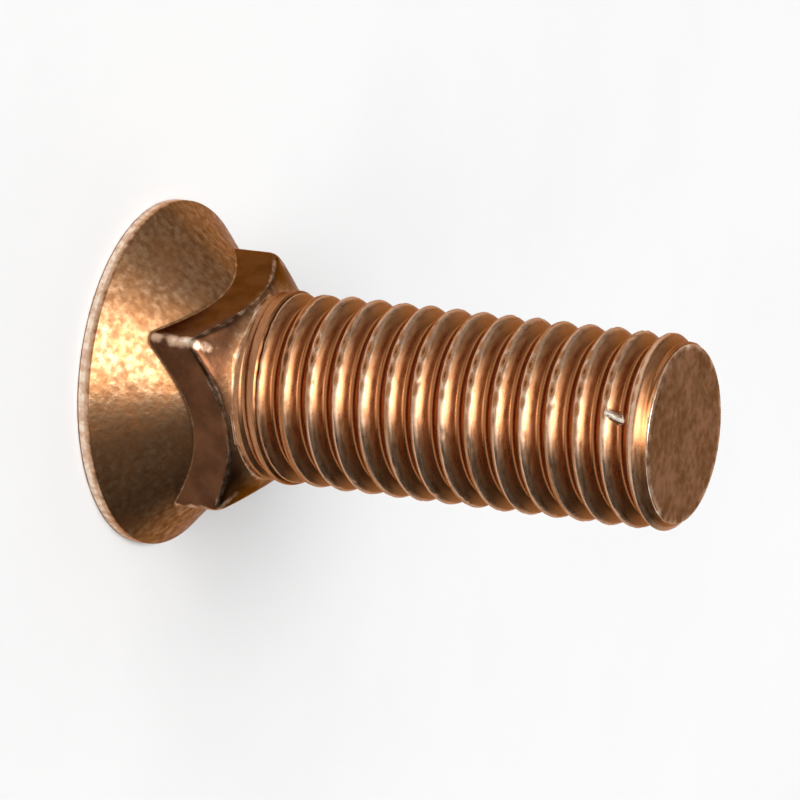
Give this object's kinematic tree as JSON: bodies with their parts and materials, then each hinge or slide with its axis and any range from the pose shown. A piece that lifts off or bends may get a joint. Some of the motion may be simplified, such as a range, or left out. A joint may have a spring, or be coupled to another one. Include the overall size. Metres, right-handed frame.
{
  "type": "plow bolt",
  "caption": "Countersunk bolt with a flat round head, a short square neck that stops it turning and a coarse thread along the whole shank, for wear plates and shares.",
  "frame": {"origin": "centre of the head's flat outer face, on which the bolt stands", "axes": "+Z along the shank to its threaded end; +X and +Y are normal to flats of the square neck"},
  "size_m": [0.021, 0.021, 0.035],
  "materials": {
    "yellow_zinc_steel": "dark yellow zinc plating, satin, with brighter worn edges"
  },
  "bodies": {
    "root": {"plow_bolt": "yellow_zinc_steel"}
  },
  "joints": []
}
